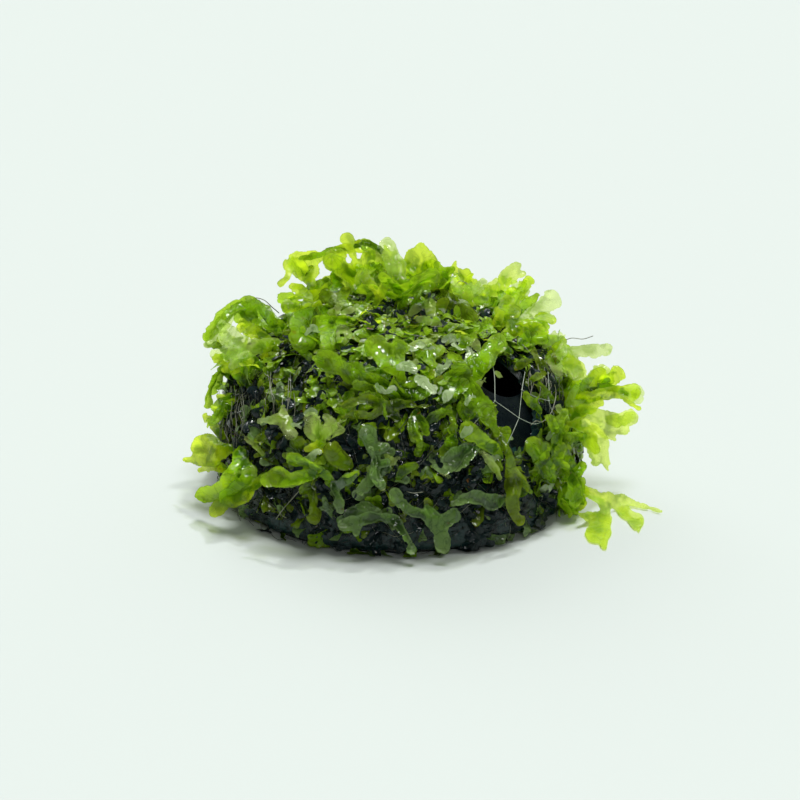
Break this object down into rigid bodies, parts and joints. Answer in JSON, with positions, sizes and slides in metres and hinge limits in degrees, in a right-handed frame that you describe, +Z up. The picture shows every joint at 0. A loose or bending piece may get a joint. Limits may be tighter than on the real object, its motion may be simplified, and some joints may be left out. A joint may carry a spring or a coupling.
{
  "type": "aquarium thallus plant on a cave",
  "caption": "Clump of leafy green freshwater thallus held by a thin net on a dark hollow half shell with an oval window.",
  "frame": {"origin": "on the floor, under the middle of the whole part's box", "axes": "+Z up, -Y towards the front with the window, +X towards the side with the long sprigs"},
  "size_m": [0.1356, 0.1148, 0.0655],
  "materials": {
    "shell": "wet and smooth, dark slate",
    "felt": "wet dark roots and old leaves",
    "leaf_bright": "wet yellow green",
    "leaf_pale": "wet, pale and thin",
    "leaf_fresh": "wet fresh green",
    "leaf_mid": "wet mid green",
    "leaf_olive": "wet olive green",
    "thread": "thin pale thread"
  },
  "bodies": {
    "root": {"half_shell": "shell", "root_felt": "felt", "crown_long_arm": "leaf_bright", "crown_club_sprig": "leaf_bright", "crown_round_lobe": "leaf_pale", "crown_upright_blade": "leaf_bright", "crown_right_fork": "leaf_fresh", "crown_olive_blade": "leaf_olive", "crown_right_lobe": "leaf_pale", "right_shoulder_clubs": "leaf_bright", "right_round_club": "leaf_pale", "right_shoulder_body": "leaf_bright", "right_long_club": "leaf_bright", "right_ring_sprig": "leaf_bright", "right_top_arm": "leaf_bright", "right_middle_club": "leaf_bright", "right_hanging_blade": "leaf_bright", "right_low_spray": "leaf_bright", "right_curl": "leaf_fresh", "right_antler": "leaf_fresh", "right_dark_lobes": "leaf_mid", "front_right_strap": "leaf_olive", "front_pale_strap": "leaf_pale", "front_paddle": "leaf_fresh", "upper_right_paddle": "leaf_fresh", "centre_right_cascade": "leaf_mid", "centre_heart": "leaf_fresh", "centre_broad_spread": "leaf_mid", "left_shoulder_broad": "leaf_mid", "left_shoulder_bright": "leaf_fresh", "left_shoulder_lobe": "leaf_bright", "centre_jagged": "leaf_olive", "centre_hanging_clubs": "leaf_mid", "front_dark_cup": "leaf_mid", "front_grey_fork": "leaf_mid", "left_arch": "leaf_bright", "left_veil": "leaf_pale", "left_side_pair": "leaf_fresh", "left_middle_hand": "leaf_bright", "left_low_broad": "leaf_fresh", "left_low_tips": "leaf_bright", "left_boat": "leaf_pale", "front_left_roll": "leaf_pale", "front_left_olive": "leaf_olive", "front_left_chain": "leaf_fresh", "front_left_drop": "leaf_olive", "front_left_second_drop": "leaf_mid", "low_fork": "leaf_fresh", "low_wave": "leaf_fresh", "low_cup": "leaf_fresh", "back_crown_fan": "leaf_fresh", "back_left_spray": "leaf_bright", "back_right_spray": "leaf_bright", "back_middle_broad": "leaf_mid", "back_left_hand": "leaf_fresh", "back_right_hand": "leaf_fresh", "back_low_strap": "leaf_mid", "left_side_sprig": "leaf_fresh", "right_side_sprig": "leaf_fresh", "net": "thread"}
  },
  "joints": []
}
